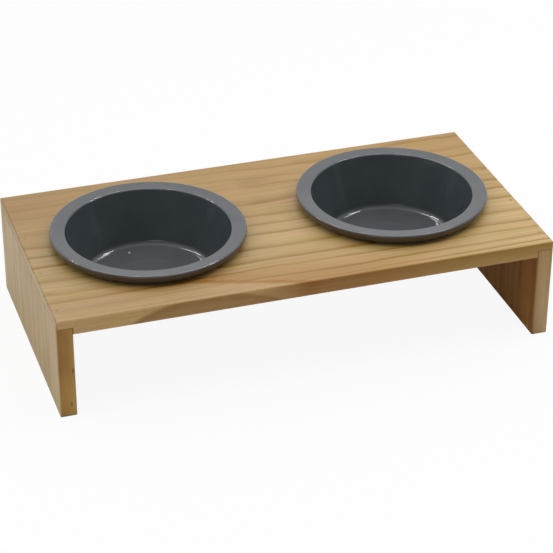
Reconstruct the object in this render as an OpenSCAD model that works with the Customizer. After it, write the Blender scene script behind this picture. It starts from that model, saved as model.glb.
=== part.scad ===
// Raised feeder for a small dog: a bench of three wooden boards with two bowls that drop in.
// X runs along the bench, Y from front to back and Z up; the origin is on the floor, under the centre.

/* [Stand] */
// Length of the top board
stand_l = 400; // [385:1:480]
// Width from front to back
stand_w = 204; // [180:1:260]
// Height of the top face above the floor
stand_h = 85; // [65:1:160]
// Thickness of the top board
board_t = 13; // [11:0.5:18]
// Thickness of each leg
leg_t = 13; // [11:0.5:18]
// Thickness of the lip that the rebate leaves over a leg
lip_t = 6.5; // [5:0.25:8.5]

/* [Edges] */
// Radius of the sanded outer edges
edge_r = 1.6; // [0.5:0.1:2.5]
// Radius of the corners at the foot of a leg, seen from the side
foot_corner_r = 3; // [1:0.5:6]
// Radius of the sanded edges along the seam between lip and leg
seam_r = 0.6; // [0.2:0.1:1.2]
// Glue line between board and leg
glue_t = 0.15; // [0.05:0.05:0.4]

/* [Bowl] */
// Distance between the centres of the two bowls
bowl_spacing = 204; // [170:1:210]
// Outer diameter of the rim
rim_d = 155; // [136:1:158]
// Width of the rim's upper face
rim_w = 12; // [11:0.5:14]
// Height of the rim's outer edge above the board
rim_h = 10; // [9:0.5:12]
// How much lower the rim's inner edge is than its outer edge
rim_fall = 0.9; // [0.3:0.1:1.5]
// Radius of the rim's two upper edges
rim_edge_r = 1.6; // [0.8:0.1:2]
// How far the rim's side is drawn in where it meets the board
rim_tuck = 5.5; // [3:0.5:6.5]
// Radius of the rim's lower edge
rim_foot_r = 1; // [0.4:0.1:1.5]
// Depth inside, from the rim's outer edge to the floor
bowl_depth = 45; // [32:1:50]
// How much smaller the floor's radius is than the mouth's
wall_taper = 13; // [6:0.5:18]
// Thickness of the wall, measured level
bowl_wall = 4.8; // [4:0.1:5.6]
// Thickness of the floor
floor_t = 5; // [4:0.5:7]
// Radius of the fillet between wall and floor
floor_fillet_r = 5; // [3:0.5:10]
// Diameter of the shallow dished ring in the floor
dish_d = 56; // [30:1:66]
// Depth of the dished ring
dish_depth = 0.3; // [0.2:0.1:0.8]

/* [Bowl foot] */
// How far the foot ring stands in from the wall
foot_inset = 13; // [11:0.5:18]
// Width of the foot ring
foot_w = 4; // [3:0.5:7]
// Height of the foot ring
foot_h = 3; // [2.5:0.5:5]

/* [Bowl seat] */
// Free play between the bowl's wall and its hole
hole_play = 1.5; // [0.8:0.1:2]

/* [Nails] */
// Nails at each end of the board
nail_count = 4; // [2:1:8]
// Distance of the nails from the end of the board
nail_inset = 5; // [4:0.5:7]
// Distance of the outer nails from the front and back edges
nail_margin = 17; // [10:1:40]
// Diameter of the shank
nail_d = 1.6; // [1:0.1:2.4]
// Diameter of the head
nail_head_d = 2.6; // [2.6:0.1:3.4]
// Thickness of the head
nail_head_t = 0.8; // [0.5:0.1:1.2]
// Length of the nail with its head
nail_l = 30; // [20:1:45]
// How deep the head is set below the face
nail_set = 1.2; // [0.8:0.1:2]
// Room between a nail or its filler and the wood
nail_fit = 0.05; // [0.02:0.01:0.1]

/* [Hidden] */
$fn = 96;

wood_colour = "#c49e62";
leg_colour = "#b59a70";
glaze_colour = "#5b6066";
steel_colour = "#a9abad";
filler_colour = "#8c6d3a";

// Cutters reach this far past the face that they open
overcut = 1;

// Underside of the lip and top of a leg
lip_z = stand_h - lip_t;
leg_h = lip_z - glue_t;

// The bowl's own levels are measured from the face that its rim rests on
rim_r = rim_d / 2;
mouth_r = rim_r - rim_w;
mouth_z = rim_h - rim_fall;
floor_r = mouth_r - wall_taper;
floor_z = rim_h - bowl_depth;
under_z = floor_z - floor_t;
foot_z = under_z - foot_h;
wall_slope = wall_taper / (mouth_z - floor_z);
function inner_r(z) = mouth_r - wall_slope * (mouth_z - z);
function outer_r(z) = inner_r(z) + bowl_wall;
hole_r = outer_r(0) + hole_play;

// The rim's side leans out up to this height and is rounded there
rim_tuck_z = 0.6 * rim_h;
rim_side_r = 0.45 * rim_h;

// Fillets on the bowl's hidden side
seat_fillet_r = 0.8;
heel_r = floor_fillet_r + floor_t;
foot_edge_r = 1;
dish_slope_w = 6 * dish_depth;
dish_edge_r = 12 * dish_depth;

nail_pitch = (stand_w - 2 * nail_margin) / (nail_count - 1);
nail_top_z = stand_h - nail_set;
nail_point_l = 1.5 * nail_d;

// Geometry of one corner of an outline, where a circle of radius r touches both sides
function unit(v) = v / norm(v);
function cross2(a, b) = a[0] * b[1] - a[1] * b[0];
function touch_length(a, p, b, r) =
    let (turn = acos(unit(p - a) * unit(b - p)))
    r * tan(turn / 2);
function touch_point(a, p, b, r) = p + unit(a - p) * touch_length(a, p, b, r);
function arc_centre(a, p, b, r) =
    let (side = sign(cross2(p - a, b - p)),
         along = unit(p - a))
    touch_point(a, p, b, r) + side * r * [-along[1], along[0]];

// Closed outline given anticlockwise as [x, y, corner radius], with true arcs at its corners
module rounded_outline(corners) {
    count = len(corners);
    function at(i) = [for (k = [0:1]) corners[(i + count) % count][k]];
    function radius(i) = corners[i][2];
    function turns_left(i) = cross2(at(i) - at(i - 1), at(i + 1) - at(i)) > 0;
    // The bow between a corner's chord and its arc, with a little beyond the chord to overlap
    module corner_bow(i) {
        start = touch_point(at(i - 1), at(i), at(i + 1), radius(i));
        end = touch_point(at(i + 1), at(i), at(i - 1), radius(i));
        centre = arc_centre(at(i - 1), at(i), at(i + 1), radius(i));
        middle = (start + end) / 2;
        intersection() {
            polygon([middle + 0.05 * (centre - middle), start, at(i), end]);
            translate(centre) circle(radius(i));
        }
    }
    rounded = [for (i = [0:count - 1]) if (radius(i) > 0) i];
    chords = [for (i = [0:count - 1]) each (radius(i) > 0
        ? [touch_point(at(i - 1), at(i), at(i + 1), radius(i)),
           touch_point(at(i + 1), at(i), at(i - 1), radius(i))]
        : [at(i)])];
    difference() {
        union() {
            polygon(chords);
            for (i = rounded) if (turns_left(i)) corner_bow(i);
        }
        for (i = rounded) if (!turns_left(i)) corner_bow(i);
    }
}

// Outline of a rectangle with one radius for the corners at its foot and another at its top
function box_corners(x0, x1, y0, y1, foot, top) =
    [[x0, y0, foot], [x1, y0, foot], [x1, y1, top], [x0, y1, top]];

// A board is what its front, side and plan outlines have in common
module from_front() {
    rotate([90, 0, 0]) linear_extrude(stand_w + 2 * overcut, center = true) children();
}
module from_side() {
    rotate([90, 0, 90]) linear_extrude(stand_l + 2 * overcut, center = true) children();
}
module from_above() {
    translate([0, 0, -overcut]) linear_extrude(stand_h + 2 * overcut) children();
}

// Puts a copy at each nail of one end; side is -1 at the left and 1 at the right
module at_nails(side) {
    for (i = [0:nail_count - 1])
        translate([side * (stand_l / 2 - nail_inset), nail_margin - stand_w / 2 + i * nail_pitch, 0])
            children();
}

// A nail driven home on the Z axis, grown by play for the hole that it makes
module nail(play = 0) {
    shank_r = nail_d / 2 + play;
    translate([0, 0, nail_top_z - nail_head_t])
        cylinder(r = nail_head_d / 2 + play, h = nail_head_t);
    translate([0, 0, nail_top_z - nail_l + nail_point_l])
        cylinder(r = shank_r, h = nail_l - nail_point_l - nail_head_t);
    translate([0, 0, nail_top_z - nail_l - play])
        cylinder(r1 = 0, r2 = shank_r, h = nail_point_l + play);
}

// The hole above a set nail, filled level with the face
module nail_filler() {
    translate([0, 0, nail_top_z]) cylinder(d = nail_head_d, h = nail_set);
}

// The way that a nail is driven: its own hole, and that of its head up through the face
module nail_way() {
    nail(nail_fit);
    translate([0, 0, nail_top_z]) cylinder(r = nail_head_d / 2 + nail_fit, h = nail_set + overcut);
}

// Round hole for a bowl, with its lower edge sanded
module bowl_hole() {
    low_z = stand_h - board_t;
    translate([0, 0, low_z - overcut]) cylinder(r = hole_r, h = board_t + 2 * overcut);
    rotate_extrude() difference() {
        translate([hole_r - overcut, low_z - overcut]) square([edge_r + overcut, edge_r + overcut]);
        translate([hole_r + edge_r, low_z + edge_r]) circle(edge_r);
    }
}

module top_board() {
    end_x = stand_l / 2;
    shoulder_x = end_x - leg_t - glue_t;
    low_z = stand_h - board_t;
    half_w = stand_w / 2;
    color(wood_colour) difference() {
        intersection() {
            from_front() rounded_outline([
                [-shoulder_x, low_z, 0], [shoulder_x, low_z, 0],
                [shoulder_x, lip_z, 0], [end_x, lip_z, seam_r],
                [end_x, stand_h, edge_r], [-end_x, stand_h, edge_r],
                [-end_x, lip_z, seam_r], [-shoulder_x, lip_z, 0]]);
            from_side() rounded_outline(box_corners(-half_w, half_w, low_z, stand_h, edge_r, edge_r));
            from_above() rounded_outline(box_corners(-end_x, end_x, -half_w, half_w, edge_r, edge_r));
        }
        for (side = [-1, 1]) {
            translate([side * bowl_spacing / 2, 0, 0]) bowl_hole();
            at_nails(side) nail_way();
        }
    }
}

// Leg at the right end; the left one is its mirror image
module leg() {
    outer_x = stand_l / 2;
    inner_x = outer_x - leg_t;
    half_w = stand_w / 2;
    difference() {
        intersection() {
            from_front() rounded_outline([
                [inner_x, 0, edge_r], [outer_x, 0, edge_r],
                [outer_x, leg_h, seam_r], [inner_x, leg_h, 0]]);
            from_side() rounded_outline(box_corners(-half_w, half_w, 0, leg_h, foot_corner_r, seam_r));
            from_above() rounded_outline(box_corners(inner_x, outer_x, -half_w, half_w, edge_r, edge_r));
        }
        at_nails(1) nail_way();
    }
}

module left_leg() { color(leg_colour) mirror([1, 0, 0]) leg(); }
module right_leg() { color(leg_colour) leg(); }

// Bowl turned about its own axis, with its rim on the board
module bowl() {
    foot_r = outer_r(under_z) - foot_inset;
    dish_r = dish_d / 2;
    rotate_extrude() rounded_outline([
        [0, under_z, 0], [foot_r - foot_w, under_z, foot_edge_r],
        [foot_r - foot_w, foot_z, foot_edge_r], [foot_r, foot_z, foot_edge_r],
        [foot_r, under_z, foot_edge_r], [outer_r(under_z), under_z, heel_r],
        [outer_r(0), 0, seat_fillet_r], [rim_r - rim_tuck, 0, rim_foot_r],
        [rim_r, rim_tuck_z, rim_side_r], [rim_r, rim_h, rim_edge_r],
        [mouth_r, mouth_z, rim_edge_r],
        [floor_r, floor_z, floor_fillet_r], [dish_r, floor_z, dish_edge_r],
        [dish_r - dish_slope_w, floor_z - dish_depth, dish_edge_r], [0, floor_z - dish_depth, 0]]);
}

module left_bowl() { color(glaze_colour) translate([-bowl_spacing / 2, 0, stand_h]) bowl(); }
module right_bowl() { color(glaze_colour) translate([bowl_spacing / 2, 0, stand_h]) bowl(); }

module left_nails() { color(steel_colour) at_nails(-1) nail(); }
module right_nails() { color(steel_colour) at_nails(1) nail(); }
module left_nail_fillers() { color(filler_colour) at_nails(-1) nail_filler(); }
module right_nail_fillers() { color(filler_colour) at_nails(1) nail_filler(); }

top_board();
left_leg();
right_leg();
left_bowl();
right_bowl();
left_nails();
right_nails();
left_nail_fillers();
right_nail_fillers();
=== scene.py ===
"""Dresses a raised feeder for a small dog: three wooden boards, two glazed bowls and filled nail heads."""

import math

import bpy
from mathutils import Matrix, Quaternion, Vector


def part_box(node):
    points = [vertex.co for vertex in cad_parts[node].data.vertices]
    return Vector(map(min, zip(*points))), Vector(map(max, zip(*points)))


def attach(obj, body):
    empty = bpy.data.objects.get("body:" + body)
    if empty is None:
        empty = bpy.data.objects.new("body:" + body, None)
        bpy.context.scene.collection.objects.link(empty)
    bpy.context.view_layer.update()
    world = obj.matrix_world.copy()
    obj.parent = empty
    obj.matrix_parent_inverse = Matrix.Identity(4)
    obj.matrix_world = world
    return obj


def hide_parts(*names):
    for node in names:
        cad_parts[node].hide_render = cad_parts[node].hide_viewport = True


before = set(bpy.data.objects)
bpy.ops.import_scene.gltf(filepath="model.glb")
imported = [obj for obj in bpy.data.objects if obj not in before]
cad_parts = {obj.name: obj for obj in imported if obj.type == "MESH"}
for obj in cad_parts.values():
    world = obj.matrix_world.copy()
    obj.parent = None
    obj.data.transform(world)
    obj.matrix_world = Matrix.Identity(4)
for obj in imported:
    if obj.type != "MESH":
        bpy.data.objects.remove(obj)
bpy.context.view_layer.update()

bl_info = {
    "name": "Dog feeder stand",
    "version": (1, 0, 0),
    "blender": (4, 5, 0),
    "location": "3D View > Sidebar > Feeder",
    "description": "Wood, glaze, nail marks and a plain studio for a bench with two drop-in bowls",
    "category": "Object",
}

MM = 0.001
TOP_LOW, TOP_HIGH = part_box("top_board")
_, LEG_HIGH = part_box("left_leg")
BOWL_LOW, BOWL_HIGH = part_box("left_bowl")
LEFT_AXIS_X = (BOWL_LOW.x + BOWL_HIGH.x) / 2

# Where the dark lines of the growth rings cross the top board, in millimetres from back to front
TOP_RING_LINES = (106, 88, 71, 57, 29, 7, -8, -24, -46, -63, -74, -88, -98, -112)
# Heart of the log that the top board was sawn from: behind the board and under its top face
TOP_HEART_Y = 130 * MM
TOP_HEART_DEPTH = 80 * MM
# Peak that a ring draws on the top in front of the left bowl
PEAK_X = -88 * MM
PEAK_Y = -75 * MM

# How far the logs of the legs are moved, once turned to lie along X, to put their hearts at the origin
LEFT_LOG_PLACE = (0.0, -0.15, -0.13)
RIGHT_LOG_PLACE = (0.0, 0.13, 0.26)
# Growth rings of the legs, in millimetres from the heart of the log
LEG_RING_COUNT = 22
LEG_FIRST_RING = 40
LEG_RING_STEP = 13

# Features of the wood in a metre, along the grain and both ways across it
FIBRES = (9, 420, 420)
FINE_FIBRES = (60, 1900, 1900)
PORES = (170, 2400, 2400)
RING_WANDER = (6, 11, 11)
RING_RIPPLE = (30, 45, 45)
LINE_FADING = (11, 3, 3)
LINE_PATCHES = (9, 30, 30)
TINT_DRIFT = (6, 22, 22)
TONE_PATCHES = (16, 110, 110)
# Shares of red, green and blue that the dark lines on a narrow edge keep of its pale wood, whose tint is
# painted light and shade
SHADED_EDGE_LATE = (0.4, 0.24, 0.0)

# Lengths that the bowl's tree takes from the properties of the same names
BOWL_LENGTHS = (
    "Rim radius", "Rim width", "Rim height", "Rim fall", "Rim edge", "Rim tuck", "Rim foot", "Seat fillet",
    "Depth", "Taper", "Wall", "Floor", "Floor fillet", "Dish radius", "Dish depth",
    "Foot inset", "Foot width", "Foot height", "Unevenness", "Bead")
BOWL_SEGMENTS = 160
CORNER_STEPS = 8
# Where the rim's side is widest, and how round it is there, as shares of the rim's height
RIM_BELLY = 0.6
RIM_BELLY_RADIUS = 0.45
# Run and rounding of the dish's side, as multiples of the dish's depth
DISH_RUN = 7.0
DISH_ROUNDING = 15.0
FOOT_EDGE = 1 * MM
# Bead of glaze on the floor of the left bowl, from the bowl's axis at the top of the board
BEAD_PLACE = (-6 * MM, 41.5 * MM, -35 * MM)
BEAD_FLATNESS = 0.4

# How far the filler plugs are wider than their holes, so that no gap shows round them
PLUG_OVERLAP = 0.04 * MM
# A full turn, in radians
FULL_TURN = 6.28
# Half the side of the floor, in metres
FLOOR_HALF = 15.0
# Light of the studio low down in front, as shares of the light overhead: as it falls, and as it is mirrored
SOFT_FRONT = 0.15
MIRRORED_FRONT = 0.12
WHITE = (1.0, 1.0, 1.0, 1.0)


def paint(red, green, blue):
    """Linear colour of an ordinary 8-bit one."""
    shares = (red / 255, green / 255, blue / 255)
    return tuple(s / 12.92 if s <= 0.04045 else ((s + 0.055) / 1.055) ** 2.4 for s in shares)


# Properties

def colour_prop(name, description, default):
    """Property for one colour of a finish."""
    return bpy.props.FloatVectorProperty(
        name=name, description=description, subtype="COLOR", size=3, min=0.0, max=1.0, default=default)


def length_prop(name, description, default):
    """Property for one length, in metres."""
    return bpy.props.FloatProperty(
        name=name, description=description, subtype="DISTANCE", unit="LENGTH", precision=5, default=default)


def share_prop(name, description, default):
    """Property for a share from 0 to 1."""
    return bpy.props.FloatProperty(
        name=name, description=description, subtype="FACTOR", min=0.0, max=1.0, default=default)


def power_prop(name, description, default):
    """Property for the power of one lamp, in watts."""
    return bpy.props.FloatProperty(name=name, description=description, unit="POWER", default=default)


def place_prop(name, description, default):
    """Property for a place in the scene, in metres."""
    return bpy.props.FloatVectorProperty(
        name=name, description=description, subtype="XYZ", unit="LENGTH", default=default)


class FeederWood(bpy.types.PropertyGroup):
    """Colours and finish of the three boards."""

    top_early: colour_prop("Top, early wood", "Pale wood between the top's ring lines", paint(184, 157, 111))
    top_late: colour_prop("Top, late wood", "Ring lines of the top", paint(143, 108, 14))
    # painted light and shade: faces turned to the front or back get their own, more saturated copy of the
    # wood, matched to how they look in their dimmer light
    top_edge_shade: colour_prop("Top, edges", "Pale wood on the top's long edges", paint(214, 187, 126))
    left_early: colour_prop("Left leg, early wood", "Pale wood of the left leg", paint(191, 171, 139))
    left_late: colour_prop("Left leg, late wood", "Ring lines of the left leg", paint(178, 156, 117))
    # painted light and shade: the left leg's faces turned to the front or back get their own, more saturated
    # copy of its wood
    left_edge_shade: colour_prop("Left leg, edges", "Pale wood on the left leg's edges", paint(213, 176, 92))
    # painted shade: the right leg's own colours are darker and more saturated, as its inner face looks in the
    # shade under the bench
    right_shaded_early: colour_prop("Right leg, early wood", "Pale wood of the right leg", paint(182, 128, 60))
    right_shaded_late: colour_prop("Right leg, late wood", "Ring lines of the right leg", paint(148, 98, 42))
    # painted light and shade: the right leg's faces turned to the front or back get their own copy of its
    # wood
    right_edge_shade: colour_prop("Right leg, edges", "Pale wood on the right leg's edges", paint(196, 170, 130))
    end_grain: colour_prop("End grain", "Colour of the sawn ends", paint(190, 171, 138))
    roughness: share_prop("Roughness", "Roughness of the matt lacquer", 0.5)


class FeederBowls(bpy.types.PropertyGroup):
    """Sizes and glaze of the two bowls."""

    rim_radius: length_prop("Rim radius", "Outer radius of the rim", (BOWL_HIGH.x - BOWL_LOW.x) / 2)
    rim_width: length_prop("Rim width", "Width of the rim's upper face", 12 * MM)
    rim_height: length_prop("Rim height", "Height of the rim above the board", 10 * MM)
    rim_fall: length_prop("Rim fall", "How much lower the rim's inner edge is than its outer edge", 0.9 * MM)
    rim_edge: length_prop("Rim edge", "Radius of the rim's upper edges", 1.6 * MM)
    rim_tuck: length_prop("Rim tuck", "How far the rim's side is drawn in at the board", 5.5 * MM)
    rim_foot: length_prop("Rim foot", "Radius of the rim's lower edge", 1 * MM)
    seat_fillet: length_prop("Seat fillet", "Radius between rim and outer wall", 0.8 * MM)
    depth: length_prop("Depth", "Depth from the rim to the floor", 45 * MM)
    taper: length_prop("Taper", "How much smaller the floor's radius is than the mouth's", 13 * MM)
    wall: length_prop("Wall", "Thickness of the wall", 4.8 * MM)
    floor: length_prop("Floor", "Thickness of the floor", 5 * MM)
    floor_fillet: length_prop("Floor fillet", "Radius between floor and wall", 5 * MM)
    dish_radius: length_prop("Dish radius", "Radius of the shallow dish in the floor", 28 * MM)
    dish_depth: length_prop("Dish depth", "Depth of the shallow dish", 0.3 * MM)
    foot_inset: length_prop("Foot inset", "How far the foot ring stands in from the wall", 13 * MM)
    foot_width: length_prop("Foot width", "Width of the foot ring", 4 * MM)
    foot_height: length_prop("Foot height", "Height of the foot ring", 3 * MM)
    unevenness: length_prop("Unevenness", "How far the glazed surface wanders", 0.12 * MM)
    bead: length_prop("Bead", "Radius of the bead of glaze on the left bowl's floor", 1.4 * MM)
    glaze: colour_prop("Glaze", "Grey of the glaze", paint(92, 95, 98))
    # painted shade: shares that darken the glaze on steep walls, such as the inner walls that lie in shade
    steep_wall_shade: colour_prop("Steep glaze", "Shares of the glaze's colour on steep walls", (0.54, 0.61, 0.64))
    # painted highlight: a pale spot on top of the bead of glaze stands in for its glint
    painted_highlight: colour_prop("Fleck", "Pale fleck on the bead of glaze in the left bowl", paint(196, 198, 198))
    # painted reflection: the brown of the board mirrored in the rim's side
    rim_wood_reflection: colour_prop("Rim side", "Thinner, browner glaze on the side of the rim", paint(104, 80, 60))
    bare_clay: colour_prop("Bare clay", "Unglazed foot ring", paint(196, 184, 166))
    roughness: share_prop("Roughness", "Roughness of the glaze", 0.06)


class FeederNails(bpy.types.PropertyGroup):
    """Filled nail heads in the top."""

    count: bpy.props.IntProperty(name="Count", description="Nails at each end of the board", min=2, default=4)
    filler: colour_prop("Filler", "Wood filler over the nail heads", paint(170, 138, 92))
    steel: colour_prop("Steel", "Bright wire of the nails", paint(170, 172, 174))
    dimple: length_prop("Dimple", "How far the filler has sunk in the middle", 0.05 * MM)


class FeederStage(bpy.types.PropertyGroup):
    """Floor, lamps and camera."""

    floor: colour_prop("Floor", "Pale floor", (0.82, 0.82, 0.82))
    whiteness: share_prop("Whiteness", "How much of the floor's shade the white background hides", 0.92)
    overhead: share_prop("Light overhead", "Brightness of the studio high up", 0.55)
    from_back: share_prop("Light from the back", "Brightness of the studio low down behind the bench", 0.9)
    top_soft: power_prop("Top soft lamp", "Power of the soft lamp overhead", 8.0)
    left_soft: power_prop("Left soft lamp", "Power of the soft lamp on the left", 5.0)
    right_soft: power_prop("Right soft lamp", "Power of the soft lamp on the right", 8.0)
    ceiling_strip: power_prop("Ceiling strip", "Power of the thin strip mirrored in the bowls", 14.0)
    left_glint: power_prop("Left glint", "Power of the mirrored lamp behind on the left", 20.0)
    right_glint: power_prop("Right glint", "Power of the mirrored lamp behind on the right", 20.0)
    window: power_prop("Window", "Power of the dim mirrored window in front", 2.6)
    lens: bpy.props.FloatProperty(
        name="Lens", description="Focal length of the camera", unit="CAMERA", default=132.89)
    eye: place_prop("Eye", "Place of the camera", (-0.4444, -1.3606, 0.8726))
    look_at: place_prop("Look at", "Point in the middle of the picture", (0.0041, 0.0, 0.031))
    roll: bpy.props.FloatProperty(
        name="Roll", description="How far the camera was tilted to one side", subtype="ANGLE",
        unit="ROTATION", default=math.radians(0.26))


# Short ways to build node trees

def add_node(tree, kind, inputs=None, **settings):
    """Add a node with its settings, and feed its inputs with values or with other nodes' outputs."""
    node = tree.nodes.new(kind)
    for name, value in settings.items():
        setattr(node, name, value)
    for key, value in (inputs or {}).items():
        if isinstance(value, bpy.types.NodeSocket):
            tree.links.new(value, node.inputs[key])
        else:
            node.inputs[key].default_value = value
    return node


def calc(tree, operation, *values):
    """One step of arithmetic on numbers or outputs."""
    return add_node(tree, "ShaderNodeMath", dict(enumerate(values)), operation=operation).outputs[0]


def times(tree, first, second):
    """Product of two numbers or outputs."""
    return calc(tree, "MULTIPLY", first, second)


def plus(tree, first, *others):
    """Sum of two or more numbers or outputs."""
    for other in others:
        first = calc(tree, "ADD", first, other)
    return first


def less(tree, first, *others):
    """First number or output with the others taken off."""
    for other in others:
        first = calc(tree, "SUBTRACT", first, other)
    return first


def vector_calc(tree, operation, *values):
    """One step of arithmetic on vectors, which gives a vector or a length."""
    node = add_node(tree, "ShaderNodeVectorMath", dict(enumerate(values)), operation=operation)
    return node.outputs["Value" if operation in ("LENGTH", "DISTANCE") else "Vector"]


def parts(tree, vector):
    """The three parts of a vector."""
    return add_node(tree, "ShaderNodeSeparateXYZ", {0: vector}).outputs


def remap(tree, value, low, high, to_low=0.0, to_high=1.0, kind="LINEAR"):
    """Value moved from one range to another, and held inside it."""
    limits = {"Value": value, "From Min": low, "From Max": high, "To Min": to_low, "To Max": to_high}
    return add_node(tree, "ShaderNodeMapRange", limits, interpolation_type=kind).outputs["Result"]


def mix(tree, share, first, second, how="MIX"):
    """Blend of two colours or outputs."""
    first, second = (c if isinstance(c, bpy.types.NodeSocket) else (*c, 1.0) for c in (first, second))
    inputs = {0: share, 6: first, 7: second}
    return add_node(tree, "ShaderNodeMix", inputs, data_type="RGBA", blend_type=how).outputs[2]


def noise(tree, place, features, seed, detail=2.0):
    """Noise with a given number of features in a metre along each axis."""
    scaled = vector_calc(tree, "MULTIPLY", place, features)
    inputs = {"Vector": scaled, "W": seed, "Scale": 1.0, "Detail": detail, "Roughness": 0.55}
    return add_node(tree, "ShaderNodeTexNoise", inputs, noise_dimensions="4D").outputs[0]


def spread(tree, texture, to_low=0.0, to_high=1.0):
    """Noise spread over a range, from the values between which most of it lies."""
    return remap(tree, texture, 0.3, 0.7, to_low, to_high)


def ragged(tree, value, texture, reach):
    """Value that a noise shifts to and fro by up to the reach."""
    return plus(tree, value, spread(tree, texture, -reach, reach))


def new_material(name):
    """Empty node material, with its tree, its shader and its coordinates."""
    material = bpy.data.materials.new(name)
    material.use_nodes = True
    tree = material.node_tree
    tree.nodes.clear()
    shader = add_node(tree, "ShaderNodeBsdfPrincipled")
    add_node(tree, "ShaderNodeOutputMaterial", {"Surface": shader.outputs[0]})
    coordinates = add_node(tree, "ShaderNodeTexCoord").outputs
    return material, tree, shader, coordinates


def set_bump(tree, shader, height, depth, strength=1.0):
    """Relief of a given depth in metres on a shader."""
    bump = add_node(tree, "ShaderNodeBump", {"Height": height, "Distance": depth, "Strength": strength})
    tree.links.new(bump.outputs[0], shader.inputs["Normal"])


# Wood

def heart_distance(tree, place, seed):
    """Distance from the heart of the log, which lies along X, made to wander as real rings do."""
    distance = vector_calc(tree, "LENGTH", vector_calc(tree, "MULTIPLY", place, (0, 1, 1)))
    wander = noise(tree, place, RING_WANDER, seed, detail=1.5)
    distance = plus(tree, distance, remap(tree, wander, 0.2, 0.8, -5 * MM, 5 * MM))
    return ragged(tree, distance, noise(tree, place, RING_RIPPLE, seed + 0.7, detail=1.0), 0.9 * MM)


def ring_number(tree, distance, marks):
    """Number of the growth ring at a distance from the heart, rising by one from mark to mark."""
    first, last = marks[0], marks[-1]
    steps = len(marks) - 1
    node = add_node(tree, "ShaderNodeFloatCurve", {"Value": remap(tree, distance, first, last)})
    curve = node.mapping.curves[0]
    for number, mark in enumerate(marks[1:-1], start=1):
        curve.points.new((mark - first) / (last - first), number / steps)
    for point in curve.points:
        point.handle_type = "VECTOR"
    node.mapping.update()
    return times(tree, node.outputs[0], float(steps))


def ring_shade(tree, rings):
    """Share of dark wood through a ring: a line near the ring's end that starts softer than it stops."""
    ramp = add_node(tree, "ShaderNodeValToRGB", {"Fac": calc(tree, "FRACT", rings)})
    stops = ramp.color_ramp.elements
    stops[0].color = (0.12, 0.12, 0.12, 1)
    stops[1].color = (0.12, 0.12, 0.12, 1)
    for position, level in ((0.08, 0.04), (0.52, 0.06), (0.72, 0.3), (0.86, 1.0), (0.95, 0.85)):
        stops.new(position).color = (level, level, level, 1)
    return ramp.outputs[0]


def late_wood(tree, rings, place, seed):
    """Share of late wood: lines that end the rings, each fading its own way, and faint ones between them."""
    own_seed = calc(tree, "MULTIPLY_ADD", calc(tree, "FLOOR", rings), 7.3, seed)
    fading = remap(tree, noise(tree, place, LINE_FADING, own_seed), 0.36, 0.6, 0.5, 1.0)
    lines = times(tree, ring_shade(tree, rings), fading)
    finer = calc(tree, "MULTIPLY_ADD", rings, 3.3, 0.2)
    patchy = remap(tree, noise(tree, place, LINE_PATCHES, seed + 0.5), 0.35, 0.65, 0.05, 0.4)
    return calc(tree, "MAXIMUM", lines, times(tree, ring_shade(tree, finer), patchy))


def facing(tree, part):
    """Share of a face that looks along an axis, forwards or backwards, from that part of its normal."""
    return remap(tree, calc(tree, "ABSOLUTE", part), 0.55, 0.9)


def wood_colour(tree, normal, share, colours):
    """Pale and dark wood by the share of late wood, with narrow edges, turned to the front or back, given
    their own tint as painted light and shade.
    """
    early, late, edge = colours
    _, to_side, _ = parts(tree, normal)
    # painted light and shade on the faces turned to the front or back
    shaded_edge_share = facing(tree, to_side)
    pale = mix(tree, shaded_edge_share, early, edge)
    dark = mix(tree, shaded_edge_share, late, [part * kept for part, kept in zip(edge, SHADED_EDGE_LATE)])
    return mix(tree, share, pale, dark)


def tint_wood(tree, place, seed, colour, streaks):
    """Slow drift of the wood's tint, patches of tone, and the streaks of its fibres."""
    drift = spread(tree, noise(tree, place, TINT_DRIFT, seed + 2))
    colour = mix(tree, times(tree, drift, 0.3), colour, paint(220, 194, 140), "MULTIPLY")
    tone = remap(tree, noise(tree, place, TONE_PATCHES, seed + 6, detail=2.5), 0.35, 0.65)
    tint = mix(tree, tone, paint(255, 248, 242), paint(244, 246, 210))
    colour = mix(tree, 1.0, colour, tint, "MULTIPLY")
    return mix(tree, 1.0, colour, spread(tree, streaks, 0.86, 1.1), "MULTIPLY")


def sawn_ends(tree, to_end, colour, end_grain, fibre):
    """Greyer ends, dark along their sanded edges, where the face is half turned to the end."""
    colour = mix(tree, times(tree, facing(tree, to_end), 0.75), colour, end_grain)
    turned = calc(tree, "ABSOLUTE", to_end)
    half_turned = times(tree, turned, less(tree, 1.0, turned))
    edge = remap(tree, half_turned, 0.19, 0.245, 0.0, 0.7)
    return mix(tree, times(tree, edge, remap(tree, fibre, 0.35, 0.6)), colour, paint(96, 70, 40))


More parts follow.
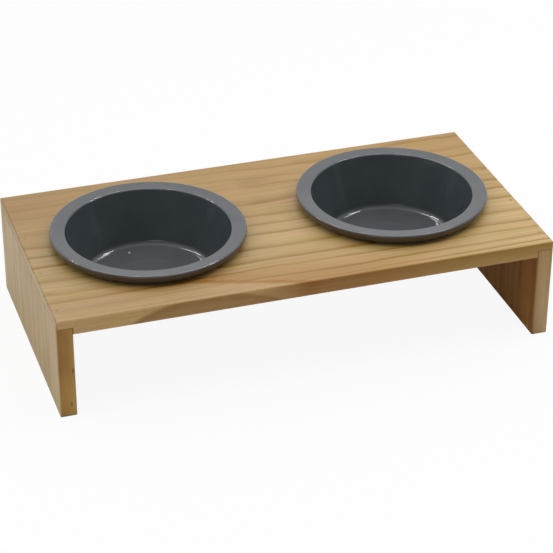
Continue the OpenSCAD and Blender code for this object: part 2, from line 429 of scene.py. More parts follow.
def wood_material(name, colours, finish, log_place, log_turn, marks, seed, figures=(), blemishes=()):
    """Lacquered softwood cut from a log whose heart lies on X once turned by log_turn and moved by log_place.

    Each figure changes the share of late wood, and each blemish changes the colour.
    """
    material, tree, shader, coordinates = new_material(name)
    mapping = {"Vector": coordinates["Object"], "Location": log_place, "Rotation": log_turn}
    place = add_node(tree, "ShaderNodeMapping", mapping).outputs[0]
    fibre = noise(tree, place, FIBRES, seed + 3, detail=3.0)
    fine = noise(tree, place, FINE_FIBRES, seed + 4, detail=1.0)
    streaks = plus(tree, times(tree, fibre, 0.65), times(tree, fine, 0.35))
    pores = noise(tree, place, PORES, seed + 5, detail=0.0)

    rings = ring_number(tree, heart_distance(tree, place, seed), marks)
    share = late_wood(tree, rings, place, seed + 1)
    for figure in figures:
        share = figure(tree, coordinates, share, streaks)

    colour = wood_colour(tree, coordinates["Normal"], share, colours)
    colour = tint_wood(tree, place, seed, colour, streaks)
    _, late, _ = colours
    colour = mix(tree, remap(tree, pores, 0.68, 0.78, 0.0, 0.35), colour, late)
    turning = {"Vector": coordinates["Normal"], "Rotation": log_turn}
    turned_normal = add_node(tree, "ShaderNodeMapping", turning, vector_type="NORMAL").outputs[0]
    to_end, _, _ = parts(tree, turned_normal)
    colour = sawn_ends(tree, to_end, colour, finish.end_grain, fibre)
    for blemish in blemishes:
        colour = blemish(tree, coordinates, colour, streaks)

    tree.links.new(colour, shader.inputs["Base Color"])
    rough = spread(tree, streaks, finish.roughness + 0.07, finish.roughness - 0.05)
    tree.links.new(rough, shader.inputs["Roughness"])
    relief = less(tree, streaks, times(tree, pores, 0.25))
    set_bump(tree, shader, relief, 0.12 * MM, 0.5)
    return material


# Figures and blemishes of the boards

def calm_back(tree, coordinates, share, streaks):
    """Ring lines of the top fade towards its back edge, and most of all to the left of a dark patch."""
    x, y, _ = parts(tree, coordinates["Object"])
    along = ragged(tree, x, streaks, 8 * MM)
    right_part = remap(tree, along, -10 * MM, -6 * MM)
    faint = remap(tree, right_part, 0.0, 1.0, 0.25, 0.75)
    kept = times(tree, share, remap(tree, y, 12 * MM, 40 * MM, 1.0, faint))
    patch_front = remap(tree, y, 50 * MM, 60 * MM)
    patch_back = remap(tree, y, 66 * MM, 82 * MM, 1.0, 0.0)
    patch_right = remap(tree, along, 10 * MM, 45 * MM, 0.3, 0.0)
    patch = times(tree, times(tree, patch_front, patch_back), times(tree, right_part, patch_right))
    return calc(tree, "MAXIMUM", kept, patch)


def behind_peak(tree, coordinates, streaks):
    """Distance behind the peak's line: its left arm runs along the board, its right arm comes forwards."""
    x, y, _ = parts(tree, coordinates["Object"])
    left_arm = remap(tree, x, TOP_LOW.x, PEAK_X, PEAK_Y + 2 * MM, PEAK_Y)
    right_arm = remap(tree, x, PEAK_X, TOP_HIGH.x, 0.0, -90 * MM)
    return ragged(tree, less(tree, y, plus(tree, left_arm, right_arm)), streaks, 2 * MM)


def peak_arm(tree, coordinates, streaks):
    """Share of the soft dark band on the peak, with warm wood behind it that widens along its right arm."""
    x, _, _ = parts(tree, coordinates["Object"])
    behind = behind_peak(tree, coordinates, streaks)
    band = remap(tree, calc(tree, "ABSOLUTE", behind), 0.5 * MM, 5 * MM, 1.0, 0.0, kind="SMOOTHSTEP")
    width = remap(tree, x, -90 * MM, 0.0, 8 * MM, 40 * MM)
    warm = remap(tree, calc(tree, "DIVIDE", behind, width), 0.4, 1.2, 0.6, 0.0)
    outside = remap(tree, behind, -3 * MM, 1 * MM, kind="SMOOTHSTEP")
    to_right = remap(tree, x, -115 * MM, -80 * MM, 0.3, 1.0)
    return times(tree, calc(tree, "MAXIMUM", band, times(tree, warm, outside)), to_right)


def top_peak(tree, coordinates, share, streaks):
    """The peak on the top: plain inside, and darker behind its line."""
    inside = remap(tree, behind_peak(tree, coordinates, streaks), -4 * MM, 1 * MM, 0.3, 1.0)
    arm = times(tree, peak_arm(tree, coordinates, streaks), 0.5)
    return calc(tree, "MAXIMUM", times(tree, share, inside), arm)


def edge_bow(tree, coordinates, share, streaks):
    """Bow that the next ring draws on the front edge: dark under its line, pale to its left."""
    x, _, z = parts(tree, coordinates["Object"])
    reach = remap(tree, x, PEAK_X - 4 * MM, PEAK_X + 4 * MM, 56 * MM, 70 * MM)
    offset = calc(tree, "DIVIDE", less(tree, x, PEAK_X), reach)
    line = calc(tree, "MULTIPLY_ADD", times(tree, offset, offset), -16 * MM, TOP_HIGH.z + 3 * MM)
    below = ragged(tree, less(tree, line, z), streaks, 1.6 * MM)
    shade = remap(tree, below, 0.5 * MM, 9 * MM, 0.85, 0.6)
    inside = remap(tree, below, -3 * MM, 3 * MM, kind="SMOOTHSTEP")
    pale = remap(tree, x, -140 * MM, -90 * MM, 0.1, 0.3)
    dark = remap(tree, z, TOP_LOW.z, TOP_HIGH.z, 0.62, 0.9)
    beyond = remap(tree, ragged(tree, x, streaks, 8 * MM), -44 * MM, -8 * MM, pale, dark)
    own = calc(tree, "MAXIMUM", times(tree, shade, inside), beyond)
    _, to_back, _ = parts(tree, coordinates["Normal"])
    front = remap(tree, to_back, -0.5, -0.9)
    kept = times(tree, share, less(tree, 1.0, times(tree, front, 0.6)))
    return calc(tree, "MAXIMUM", kept, times(tree, own, front))


def warm_parts(tree, coordinates, colour, streaks):
    """Orange behind the peak and over the back of the top, pink inside the peak, and paler to the right."""
    x, y, _ = parts(tree, coordinates["Object"])
    arm = times(tree, peak_arm(tree, coordinates, streaks), 0.9)
    colour = mix(tree, arm, colour, paint(243, 203, 108), "MULTIPLY")
    inside = remap(tree, behind_peak(tree, coordinates, streaks), -6 * MM, 0.0, 1.0, 0.0)
    colour = mix(tree, inside, colour, paint(251, 244, 249), "MULTIPLY")
    to_back = remap(tree, y, -20 * MM, 60 * MM)
    colour = mix(tree, to_back, colour, paint(236, 224, 202), "MULTIPLY")
    return mix(tree, 1.0, colour, remap(tree, x, TOP_LOW.x, TOP_HIGH.x, 0.94, 1.19), "MULTIPLY")


def orange_top_lit_outer(tree, coordinates, colour, streaks):
    """Wood of the right leg: orange towards its top, and paler on its outer face, a lit copy beside the
    painted shade that its own colours carry for its inner face.
    """
    _, _, z = parts(tree, coordinates["Object"])
    upper = remap(tree, z, 0.3 * LEG_HIGH.z, LEG_HIGH.z, 0.0, 0.5)
    colour = mix(tree, upper, colour, paint(238, 204, 150), "MULTIPLY")
    # painted light: the outer face is paler than the shaded inner face
    to_right, _, _ = parts(tree, coordinates["Normal"])
    return mix(tree, remap(tree, to_right, 0.5, 0.9, 0.0, 0.6), colour, paint(204, 178, 132))


def mottled(tree, coordinates, colour, streaks):
    """Soft upright patches on the left leg, some pinkish and some brown."""
    patches = (70, 70, 17)
    pink = remap(tree, noise(tree, coordinates["Object"], patches, 51.0), 0.4, 0.62)
    colour = mix(tree, times(tree, pink, 0.6), colour, paint(255, 241, 246), "MULTIPLY")
    brown = remap(tree, noise(tree, coordinates["Object"], patches, 57.0), 0.52, 0.68)
    return mix(tree, times(tree, brown, 0.7), colour, paint(232, 216, 200), "MULTIPLY")


def pin_knots(places):
    """Blemish of small dark knots, drawn out along an upright grain, each given by its centre and radius."""
    def blemish(tree, coordinates, colour, streaks):
        """Colour with the knots drawn over it."""
        for centre, radius in places:
            offset = vector_calc(tree, "SUBTRACT", coordinates["Object"], centre)
            gap = vector_calc(tree, "LENGTH", vector_calc(tree, "MULTIPLY", offset, (1.0, 1.0, 0.35)))
            gap = ragged(tree, gap, streaks, 0.3 * radius)
            spot = remap(tree, gap, 0.4 * radius, 1.4 * radius, 0.8, 0.0)
            colour = mix(tree, spot, colour, paint(84, 54, 28))
        return colour
    return blemish


# Glaze, filler and steel

def rim_reflection_share(tree, place, bowls):
    """Share of a bowl's surface that is the side of its rim, under the upper edge, which takes a painted
    reflection of the brown board.
    """
    x, y, height = parts(tree, place)
    from_axis = less(tree, calc(tree, "ABSOLUTE", x), abs(LEFT_AXIS_X))
    square = calc(tree, "MULTIPLY_ADD", from_axis, from_axis, times(tree, y, y))
    radius = calc(tree, "SQRT", square)
    outer = remap(tree, radius, bowls.rim_radius - 1.4 * MM, bowls.rim_radius - 0.5 * MM)
    under_edge = remap(tree, height, BOWL_HIGH.z - 1.2 * MM, BOWL_HIGH.z - 0.2 * MM, 0.9, 0.0)
    return times(tree, outer, under_edge)


def bead_highlight_share(tree, place, bowls):
    """Share of the left bowl's surface that is the top of its bead of glaze, where a painted highlight goes.
    """
    bead = Vector(BEAD_PLACE) + Vector((LEFT_AXIS_X, 0.0, TOP_HIGH.z))
    gap = vector_calc(tree, "DISTANCE", place, bead)
    return remap(tree, gap, 0.6 * bowls.bead, 0.95 * bowls.bead, 0.9, 0.0)


def bare_foot(tree, place, cloud):
    """Share of a bowl's surface that has no glaze: its foot ring, up to a line that wanders."""
    _, _, height = parts(tree, place)
    bare_height = BOWL_LOW.z + 1.2 * MM
    line = ragged(tree, height, cloud, 0.3 * MM)
    return remap(tree, line, bare_height, bare_height + 0.2 * MM, 1.0, 0.0)


def glaze_material(bowls):
    """Glossy grey glaze with painted shade on steep walls and a painted reflection of the board on the rim's
    side, with the foot ring left bare.
    """
    material, tree, shader, coordinates = new_material("bowl_glaze")
    place = coordinates["Object"]
    cloud = noise(tree, place, (38, 38, 38), 3.0, detail=3.0)
    speck = noise(tree, place, (900, 900, 900), 5.0, detail=1.0)
    colour = mix(tree, spread(tree, cloud, 0.0, 0.3), bowls.glaze, paint(62, 66, 71))
    colour = mix(tree, remap(tree, speck, 0.62, 0.75, 0.0, 0.25), colour, paint(40, 42, 45))
    # painted reflection of the board on the rim's side
    colour = mix(tree, rim_reflection_share(tree, place, bowls), colour, bowls.rim_wood_reflection)
    # painted shade: darker glaze on steep walls
    _, _, rise = parts(tree, coordinates["Normal"])
    steep = remap(tree, rise, 0.35, 0.85, 1.0, 0.0)
    colour = mix(tree, steep, colour, bowls.steep_wall_shade, "MULTIPLY")
    # painted highlight on the top of the bead
    colour = mix(tree, bead_highlight_share(tree, place, bowls), colour, bowls.painted_highlight)
    bare = bare_foot(tree, place, cloud)
    colour = mix(tree, bare, colour, bowls.bare_clay)
    tree.links.new(colour, shader.inputs["Base Color"])
    gloss = spread(tree, cloud, bowls.roughness - 0.03, bowls.roughness + 0.05)
    rough = add_node(tree, "ShaderNodeMix", {0: bare, 2: gloss, 3: 0.8}).outputs[0]
    tree.links.new(rough, shader.inputs["Roughness"])
    peel = noise(tree, place, (120, 120, 120), 7.0)
    grit = times(tree, times(tree, speck, bare), 0.6)
    set_bump(tree, shader, plus(tree, peel, grit), 0.1 * MM, 0.5)
    return material


def filler_material(nails):
    """Sanded wood filler, grainy and a little blotched."""
    material, tree, shader, coordinates = new_material("wood_filler")
    grain = noise(tree, coordinates["Object"], (2200, 2200, 2200), 2.0, detail=3.0)
    colour = mix(tree, remap(tree, grain, 0.35, 0.65), nails.filler, paint(140, 108, 66))
    tree.links.new(colour, shader.inputs["Base Color"])
    tree.links.new(spread(tree, grain, 0.65, 0.85), shader.inputs["Roughness"])
    set_bump(tree, shader, grain, 0.08 * MM)
    return material


def steel_material(nails):
    """Drawn wire with fine lines along the shank."""
    material, tree, shader, coordinates = new_material("nail_steel")
    lines = noise(tree, coordinates["Object"], (5000, 5000, 120), 4.0)
    colour = mix(tree, spread(tree, lines, 0.0, 0.4), nails.steel, paint(120, 120, 122))
    tree.links.new(colour, shader.inputs["Base Color"])
    shader.inputs["Metallic"].default_value = 1.0
    tree.links.new(spread(tree, lines, 0.28, 0.45), shader.inputs["Roughness"])
    set_bump(tree, shader, lines, 0.02 * MM)
    return material


def dress_node(node, material):
    """Give a piece that came with the frame its finish."""
    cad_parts[node].material_slots[0].material = material


# Geometry Nodes

def new_tree(name, inputs):
    """Geometry tree with named inputs, its group input and its group output."""
    tree = bpy.data.node_groups.new(name, "GeometryNodeTree")
    for label, kind in inputs:
        tree.interface.new_socket(label, in_out="INPUT", socket_type=kind)
    tree.interface.new_socket("Geometry", in_out="OUTPUT", socket_type="NodeSocketGeometry")
    return tree, tree.nodes.new("NodeGroupInput").outputs, tree.nodes.new("NodeGroupOutput")


def close_tree(tree, geometry, material, output):
    """End a tree with real faces and their material."""
    realized = add_node(tree, "GeometryNodeRealizeInstances", {0: geometry}).outputs[0]
    finished = add_node(tree, "GeometryNodeSetMaterial", {"Geometry": realized, "Material": material})
    tree.links.new(finished.outputs[0], output.inputs[0])


def mesh_from_tree(name, tree, values):
    """Object whose plain mesh is what the tree makes of the given values."""
    piece = bpy.data.objects.new(name, bpy.data.meshes.new(name))
    bpy.context.scene.collection.objects.link(piece)
    modifier = piece.modifiers.new(tree.name, "NODES")
    modifier.node_group = tree
    for item in tree.interface.items_tree:
        if item.in_out == "INPUT":
            modifier[item.identifier] = values[item.name]
    normals = piece.modifiers.new("even_normals", "WEIGHTED_NORMAL")
    normals.keep_sharp = True
    depsgraph = bpy.context.evaluated_depsgraph_get()
    mesh = bpy.data.meshes.new_from_object(piece.evaluated_get(depsgraph), depsgraph=depsgraph)
    piece.modifiers.clear()
    piece.data = mesh
    mesh.name = name
    return piece


def bowl_section(tree, given):
    """Corners of the bowl's half section: distance from the axis, height above the board, and radius."""
    rim = given["Rim radius"]
    top = given["Rim height"]
    mouth = less(tree, rim, given["Rim width"])
    mouth_top = less(tree, top, given["Rim fall"])
    floor = less(tree, top, given["Depth"])
    under = less(tree, floor, given["Floor"])
    ground = less(tree, under, given["Foot height"])
    slope = calc(tree, "DIVIDE", given["Taper"], less(tree, mouth_top, floor))
    outer_mouth = plus(tree, mouth, given["Wall"])
    outer_seat = less(tree, outer_mouth, times(tree, slope, mouth_top))
    outer_heel = less(tree, outer_mouth, times(tree, slope, less(tree, mouth_top, under)))
    heel_radius = plus(tree, given["Floor fillet"], given["Floor"])
    foot = less(tree, outer_heel, given["Foot inset"])
    foot_inner = less(tree, foot, given["Foot width"])
    dish = given["Dish radius"]
    dish_floor = less(tree, floor, given["Dish depth"])
    dish_inner = less(tree, dish, times(tree, given["Dish depth"], DISH_RUN))
    dish_edge = times(tree, given["Dish depth"], DISH_ROUNDING)
    return (
        (0.0, under, 0.0),
        (foot_inner, under, FOOT_EDGE),
        (foot_inner, ground, FOOT_EDGE),
        (foot, ground, FOOT_EDGE),
        (foot, under, FOOT_EDGE),
        (outer_heel, under, heel_radius),
        (outer_seat, 0.0, given["Seat fillet"]),
        (less(tree, rim, given["Rim tuck"]), 0.0, given["Rim foot"]),
        (rim, times(tree, top, RIM_BELLY), times(tree, top, RIM_BELLY_RADIUS)),
        (rim, top, given["Rim edge"]),
        (mouth, mouth_top, given["Rim edge"]),
        (less(tree, mouth, given["Taper"]), floor, given["Floor fillet"]),
        (dish, floor, dish_edge),
        (dish_inner, dish_floor, dish_edge),
        (0.0, dish_floor, 0.0))


def section_curve(tree, section, rim):
    """Curve through the corners of a section, each rounded by its own radius, with the rim at its origin."""
    index = add_node(tree, "GeometryNodeInputIndex").outputs[0]
    places = add_node(tree, "GeometryNodeIndexSwitch", {"Index": index}, data_type="VECTOR")
    radii = add_node(tree, "GeometryNodeIndexSwitch", {"Index": index}, data_type="FLOAT")
    for number, (across, height, radius) in enumerate(section):
        for switch in (places, radii):
            if number >= len(switch.index_switch_items):
                switch.index_switch_items.new()
        corner = {0: less(tree, across, rim), 1: less(tree, 0.0, height)}
        corner = add_node(tree, "ShaderNodeCombineXYZ", corner).outputs[0]
        tree.links.new(corner, places.inputs[number + 1])
        if isinstance(radius, bpy.types.NodeSocket):
            tree.links.new(radius, radii.inputs[number + 1])
        else:
            radii.inputs[number + 1].default_value = radius
    chain = add_node(tree, "GeometryNodeMeshLine", {"Count": len(section)}).outputs[0]
    moved = {"Geometry": chain, "Position": places.outputs[0]}
    chain = add_node(tree, "GeometryNodeSetPosition", moved).outputs[0]
    curve = add_node(tree, "GeometryNodeMeshToCurve", {0: chain}).outputs[0]
    rounded = {"Curve": curve, "Radius": radii.outputs[0], "Count": CORNER_STEPS}
    return add_node(tree, "GeometryNodeFilletCurve", rounded, mode="POLY").outputs[0]


def turned_mesh(tree, section, rim, segments):
    """Mesh turned about the axis from a section's curve, with the seam and the two poles closed."""
    circle = {"Resolution": segments, "Radius": rim}
    ring = add_node(tree, "GeometryNodeCurvePrimitiveCircle", circle).outputs[0]
    ring = add_node(tree, "GeometryNodeSetCurveNormal", {"Curve": ring}, mode="Z_UP").outputs[0]
    body = add_node(tree, "GeometryNodeCurveToMesh", {"Curve": ring, "Profile Curve": section}).outputs[0]
    merged = {"Geometry": body, "Distance": 0.01 * MM}
    return add_node(tree, "GeometryNodeMergeByDistance", merged).outputs[0]


def uneven(tree, body, seed, reach):
    """Surface that wanders a little, as thick glaze does."""
    position = add_node(tree, "GeometryNodeInputPosition").outputs[0]
    texture = {"Vector": position, "W": seed, "Scale": 16.0, "Detail": 1.0}
    drift = add_node(tree, "ShaderNodeTexNoise", texture, noise_dimensions="4D").outputs[1]
    centred = vector_calc(tree, "SUBTRACT", drift, (0.5, 0.5, 0.5))
    scale = {0: centred, "Scale": reach}
    wander = add_node(tree, "ShaderNodeVectorMath", scale, operation="SCALE").outputs[0]
    return add_node(tree, "GeometryNodeSetPosition", {"Geometry": body, "Offset": wander}).outputs[0]


def floor_bead(tree, given):
    """Flat bead of glaze on the floor, where there is one."""
    sphere = {"Segments": 20, "Rings": 12, "Radius": given["Bead"]}
    bead = add_node(tree, "GeometryNodeMeshUVSphere", sphere).outputs[0]
    flattened = {"Geometry": bead, "Scale": (1.0, 1.0, BEAD_FLATNESS)}
    bead = add_node(tree, "GeometryNodeTransform", flattened).outputs[0]
    placed = {"Geometry": bead, "Translation": given["Bead place"]}
    bead = add_node(tree, "GeometryNodeTransform", placed).outputs[0]
    chosen = {"Switch": given["Beaded"], "True": bead}
    return add_node(tree, "GeometryNodeSwitch", chosen, input_type="GEOMETRY").outputs[0]


def bowl_tree():
    """Bowl turned about its axis from a half section with rounded corners."""
    inputs = [(label, "NodeSocketFloat") for label in BOWL_LENGTHS]
    inputs += [("Axis", "NodeSocketVector"), ("Beaded", "NodeSocketBool"), ("Bead place", "NodeSocketVector"),
               ("Seed", "NodeSocketFloat"), ("Segments", "NodeSocketInt"), ("Glaze", "NodeSocketMaterial")]
    tree, given, output = new_tree("turned_bowl", inputs)
    rim = given["Rim radius"]
    section = section_curve(tree, bowl_section(tree, given), rim)
    body = turned_mesh(tree, section, rim, given["Segments"])
    body = uneven(tree, body, given["Seed"], given["Unevenness"])
    whole = add_node(tree, "GeometryNodeJoinGeometry")
    tree.links.new(body, whole.inputs[0])
    tree.links.new(floor_bead(tree, given), whole.inputs[0])
    placed = {"Geometry": whole.outputs[0], "Translation": given["Axis"]}
    placed = add_node(tree, "GeometryNodeTransform", placed).outputs[0]
    smooth = add_node(tree, "GeometryNodeSetShadeSmooth", {0: placed}).outputs[0]
    close_tree(tree, smooth, given["Glaze"], output)
    return tree


def filler_plug(tree, given):
    """Round plug whose upper face is sunk a little in the middle."""
    sizes = {"Vertices": 24, "Side Segments": 1, "Fill Segments": 4,
             "Radius": given["Radius"], "Depth": given["Depth"]}
    plug = add_node(tree, "GeometryNodeMeshCylinder", sizes, fill_type="TRIANGLE_FAN").outputs[0]
    position = add_node(tree, "GeometryNodeInputPosition").outputs[0]
    _, _, height = parts(tree, position)
    from_axis = vector_calc(tree, "LENGTH", vector_calc(tree, "MULTIPLY", position, (1, 1, 0)))
    share = calc(tree, "DIVIDE", from_axis, given["Radius"])
    hollow = less(tree, 1.0, times(tree, share, share))
    upper = calc(tree, "GREATER_THAN", height, 0.0)
    sink = times(tree, times(tree, hollow, upper), given["Dimple"])
    down = add_node(tree, "ShaderNodeCombineXYZ", {2: times(tree, sink, -1.0)}).outputs[0]
    return add_node(tree, "GeometryNodeSetPosition", {"Geometry": plug, "Offset": down}).outputs[0]


def filler_tree():
    """Row of filler plugs, each turned its own way."""
    inputs = [("Count", "NodeSocketInt"), ("First", "NodeSocketVector"), ("Step", "NodeSocketVector"),
              ("Radius", "NodeSocketFloat"), ("Depth", "NodeSocketFloat"), ("Dimple", "NodeSocketFloat"),
              ("Seed", "NodeSocketInt"), ("Filler", "NodeSocketMaterial")]
    tree, given, output = new_tree("filler_row", inputs)
    line = {"Count": given["Count"], "Start Location": given["First"], "Offset": given["Step"]}
    row = add_node(tree, "GeometryNodeMeshLine", line).outputs[0]
    limits = {0: (0.0, 0.0, 0.0), 1: (0.0, 0.0, FULL_TURN), "Seed": given["Seed"]}
    turn = add_node(tree, "FunctionNodeRandomValue", limits, data_type="FLOAT_VECTOR").outputs[0]
    copies = {"Points": row, "Instance": filler_plug(tree, given), "Rotation": turn}
    plugs = add_node(tree, "GeometryNodeInstanceOnPoints", copies).outputs[0]
    close_tree(tree, plugs, given["Filler"], output)
    return tree


# Stage

def aim(thing, place, target, roll=0.0):
    """Put a lamp or camera at a place, turn it to a target and roll it about its own axis."""
    thing.location = place
    turn = (target - place).to_track_quat("-Z", "Y") @ Quaternion((0.0, 0.0, 1.0), roll)
    thing.rotation_euler = turn.to_euler()


def make_softbox(name, place, size, power, fills=True, glints=True):
    """Lamp turned to the bench, its first side level, that can be kept to soft light or to glints."""
    lamp = bpy.data.lights.new(name, "AREA")
    lamp.shape = "RECTANGLE"
    lamp.size, lamp.size_y = size
    lamp.energy = power
    holder = bpy.data.objects.new(name, lamp)
    holder.visible_diffuse = fills
    holder.visible_glossy = glints
    bpy.context.scene.collection.objects.link(holder)
    aim(holder, Vector(place), Vector((0.0, 0.0, TOP_HIGH.z)))


def make_floor(stage):
    """Wide pale floor that keeps the shadow of the bench."""
    corners = [(x * FLOOR_HALF, y * FLOOR_HALF, 0.0) for x, y in ((-1, -1), (1, -1), (1, 1), (-1, 1))]
    mesh = bpy.data.meshes.new("floor")
    mesh.from_pydata(corners, [], [(0, 1, 2, 3)])
    floor = bpy.data.objects.new("floor", mesh)
    bpy.context.scene.collection.objects.link(floor)
    material, tree, shader, _ = new_material("floor_paper")
    shader.inputs["Roughness"].default_value = 0.9
    shader.inputs["Specular IOR Level"].default_value = 0.1
    shader.inputs["Base Color"].default_value = (*stage.floor, 1.0)
    seen = add_node(tree, "ShaderNodeLightPath").outputs["Is Camera Ray"]
    paper = add_node(tree, "ShaderNodeEmission", {"Color": WHITE})
    share = times(tree, seen, stage.whiteness)
    whitened = add_node(tree, "ShaderNodeMixShader", {0: share, 1: shader.outputs[0], 2: paper.outputs[0]})
    tree.links.new(whitened.outputs[0], tree.get_output_node("ALL").inputs["Surface"])
    mesh.materials.append(material)


def make_world(context, stage):
    """Light from all round, brighter behind the bench than low down in front of it, and seen as white."""
    world = bpy.data.worlds.new("studio")
    world.use_nodes = True
    tree = world.node_tree
    tree.nodes.clear()
    direction = add_node(tree, "ShaderNodeTexCoord").outputs["Generated"]
    _, to_back, up = parts(tree, direction)
    ray = add_node(tree, "ShaderNodeLightPath").outputs
    soft = remap(tree, up, 0.15, 0.8, SOFT_FRONT * stage.overhead, stage.overhead)
    mirrored = remap(tree, up, 0.8, 0.97, MIRRORED_FRONT * stage.overhead, stage.overhead)
    in_front = remap(tree, ray["Is Glossy Ray"], 0.0, 1.0, soft, mirrored)
    behind = remap(tree, up, 0.65, 0.85, stage.from_back, stage.overhead)
    level = remap(tree, to_back, -0.6, 0.5, in_front, behind)
    strength = calc(tree, "MAXIMUM", level, ray["Is Camera Ray"])
    light = add_node(tree, "ShaderNodeBackground", {"Strength": strength, "Color": WHITE})
    add_node(tree, "ShaderNodeOutputWorld", {"Surface": light.outputs[0]})
    context.scene.world = world


def make_camera(context, stage):
    """Camera that sees the bench as the photo does."""
    camera = bpy.data.objects.new("photo_camera", bpy.data.cameras.new("photo_camera"))
    context.scene.collection.objects.link(camera)
    camera.data.lens = stage.lens
    aim(camera, Vector(stage.eye), Vector(stage.look_at), stage.roll)
    context.scene.camera = camera


# Operators

class FEEDER_OT_top_board(bpy.types.Operator):
    """Dress the top board in wood with its grain along the bench"""

    bl_idname = "feeder.top_board"
    bl_label = "Top board"

    def execute(self, context):
        wood = context.scene.feeder_wood
        colours = (wood.top_early, wood.top_late, wood.top_edge_shade)
        log_place = (0.0, -TOP_HEART_Y, TOP_HEART_DEPTH - TOP_HIGH.z)
        log_turn = (0.0, 0.0, 0.0)
        marks = [math.hypot(y * MM - TOP_HEART_Y, TOP_HEART_DEPTH) for y in TOP_RING_LINES]
        material = wood_material(
            "top_wood", colours, wood, log_place, log_turn, marks, seed=11.0,
            figures=(calm_back, top_peak, edge_bow), blemishes=(warm_parts,))
        dress_node("top_board", material)
        return {"FINISHED"}


def leg_marks():
    """Distances of the legs' growth rings from the heart of the log, unevenly apart."""
    marks = []
    for number in range(LEG_RING_COUNT):
        unevenness = 5 * math.sin(2.3 * number) + 3 * math.sin(5.1 * number)
        marks.append((LEG_FIRST_RING + LEG_RING_STEP * number + unevenness) * MM)
    return marks


class FEEDER_OT_legs(bpy.types.Operator):
    """Dress the legs in wood with its grain upright"""

    bl_idname = "feeder.legs"
    bl_label = "Legs"

    def execute(self, context):
        wood = context.scene.feeder_wood
        upright = (0.0, math.pi / 2, 0.0)
        front = TOP_LOW.y
        knots = pin_knots((
            ((LEG_HIGH.x - 1.7 * MM, front, 41 * MM), 0.8 * MM),
            ((LEG_HIGH.x - 4.2 * MM, front, 11.7 * MM), 0.7 * MM)))
        left_colours = (wood.left_early, wood.left_late, wood.left_edge_shade)
        left = wood_material(
            "left_leg_wood", left_colours, wood, LEFT_LOG_PLACE, upright, leg_marks(), seed=23.0,
            blemishes=(mottled, knots))
        right_colours = (wood.right_shaded_early, wood.right_shaded_late, wood.right_edge_shade)
        right = wood_material(
            "right_leg_wood", right_colours, wood, RIGHT_LOG_PLACE, upright, leg_marks(), seed=37.0,
            blemishes=(orange_top_lit_outer,))
        dress_node("left_leg", left)
        dress_node("right_leg", right)
        return {"FINISHED"}


class FEEDER_OT_bowls(bpy.types.Operator):
    """Turn the two bowls and glaze them"""

    bl_idname = "feeder.bowls"
    bl_label = "Bowls"

    def execute(self, context):
        bowls = context.scene.feeder_bowls
        tree = bowl_tree()
        glaze = glaze_material(bowls)
        sizes = {label: getattr(bowls, label.lower().replace(" ", "_")) for label in BOWL_LENGTHS}
        for number, body in enumerate(("left_bowl", "right_bowl")):
            low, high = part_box(body)
            axis = ((low.x + high.x) / 2, (low.y + high.y) / 2, TOP_HIGH.z)
            values = {**sizes, "Axis": axis, "Beaded": body == "left_bowl", "Bead place": BEAD_PLACE,
                      "Seed": 1.0 + number, "Segments": BOWL_SEGMENTS, "Glaze": glaze}
            piece = mesh_from_tree(body + "_turned", tree, values)
            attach(piece, body)
            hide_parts(body)
        return {"FINISHED"}


class FEEDER_OT_nails(bpy.types.Operator):
    """Fill the nail holes and give the nails their steel"""

    bl_idname = "feeder.nails"
    bl_label = "Nails"

    def execute(self, context):
        nails = context.scene.feeder_nails
        tree = filler_tree()
        filler = filler_material(nails)
        steel = steel_material(nails)
        for number, side in enumerate(("left", "right")):
            node = side + "_nail_fillers"
            low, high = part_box(node)
            radius = (high.x - low.x) / 2
            first = Vector(((low.x + high.x) / 2, low.y + radius, (low.z + high.z) / 2))
            pitch = (high.y - low.y - 2 * radius) / (nails.count - 1)
            values = {"Count": nails.count, "First": first, "Step": (0.0, pitch, 0.0),
                      "Radius": radius + PLUG_OVERLAP, "Depth": high.z - low.z, "Dimple": nails.dimple,
                      "Seed": number, "Filler": filler}
            piece = mesh_from_tree(side + "_filler_plugs", tree, values)
            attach(piece, "stand")
            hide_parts(node)
            dress_node(side + "_nails", steel)
        return {"FINISHED"}


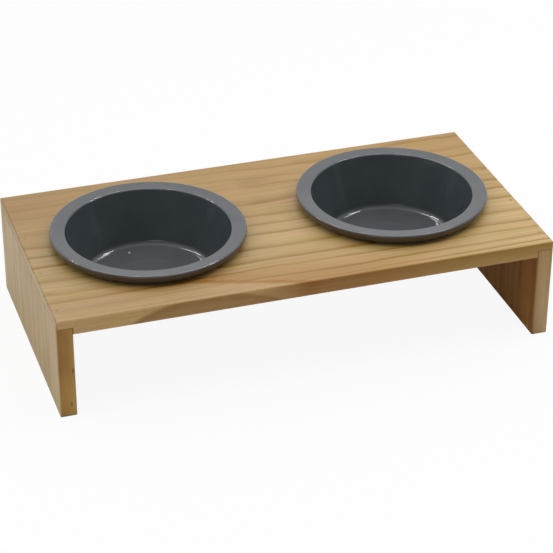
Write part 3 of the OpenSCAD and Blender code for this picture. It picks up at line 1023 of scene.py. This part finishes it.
class FEEDER_OT_stage(bpy.types.Operator):
    """Set up the floor, the lamps and the camera"""

    bl_idname = "feeder.stage"
    bl_label = "Stage"

    def execute(self, context):
        stage = context.scene.feeder_stage
        make_floor(stage)
        make_world(context, stage)
        make_softbox("top_lamp", (0.0, -0.22, 1.6), (1.4, 0.7), stage.top_soft, glints=False)
        make_softbox("left_lamp", (-1.5, 0.1, 1.2), (0.8, 0.8), stage.left_soft, glints=False)
        make_softbox("right_lamp", (1.5, 0.1, 1.2), (0.8, 0.8), stage.right_soft, glints=False)
        make_softbox("ceiling_strip", (0.1, 0.85, 1.57), (1.4, 0.16), stage.ceiling_strip, fills=False)
        make_softbox("left_glint", (-1.66, 1.93, 2.82), (0.3, 0.6), stage.left_glint, fills=False)
        make_softbox("right_glint", (1.85, 0.75, 3.24), (0.3, 0.6), stage.right_glint, fills=False)
        make_softbox("window_glint", (-0.9, -1.48, 0.76), (0.7, 0.6), stage.window, fills=False)
        make_camera(context, stage)
        context.scene.view_settings.view_transform = "Standard"
        return {"FINISHED"}


class FEEDER_PT_panel(bpy.types.Panel):
    """Lists the steps that dress the feeder"""

    bl_idname = "FEEDER_PT_panel"
    bl_label = "Feeder"
    bl_space_type = "VIEW_3D"
    bl_region_type = "UI"
    bl_category = "Feeder"

    def draw(self, context):
        for operator in OPERATORS:
            self.layout.operator(operator.bl_idname)


OPERATORS = (FEEDER_OT_top_board, FEEDER_OT_legs, FEEDER_OT_bowls, FEEDER_OT_nails, FEEDER_OT_stage)
GROUPS = {"feeder_wood": FeederWood, "feeder_bowls": FeederBowls, "feeder_nails": FeederNails,
          "feeder_stage": FeederStage}


def register():
    """Make the properties, the operators and the panel known to Blender."""
    for name, group in GROUPS.items():
        bpy.utils.register_class(group)
        setattr(bpy.types.Scene, name, bpy.props.PointerProperty(type=group))
    for shown in (*OPERATORS, FEEDER_PT_panel):
        bpy.utils.register_class(shown)


def unregister():
    """Take away what register has made known."""
    for shown in (FEEDER_PT_panel, *reversed(OPERATORS)):
        bpy.utils.unregister_class(shown)
    for name, group in GROUPS.items():
        delattr(bpy.types.Scene, name)
        bpy.utils.unregister_class(group)


def main():
    """Dress every piece in order."""
    register()
    bpy.ops.feeder.top_board()
    bpy.ops.feeder.legs()
    bpy.ops.feeder.bowls()
    bpy.ops.feeder.nails()
    bpy.ops.feeder.stage()


if __name__ == "__main__":
    main()
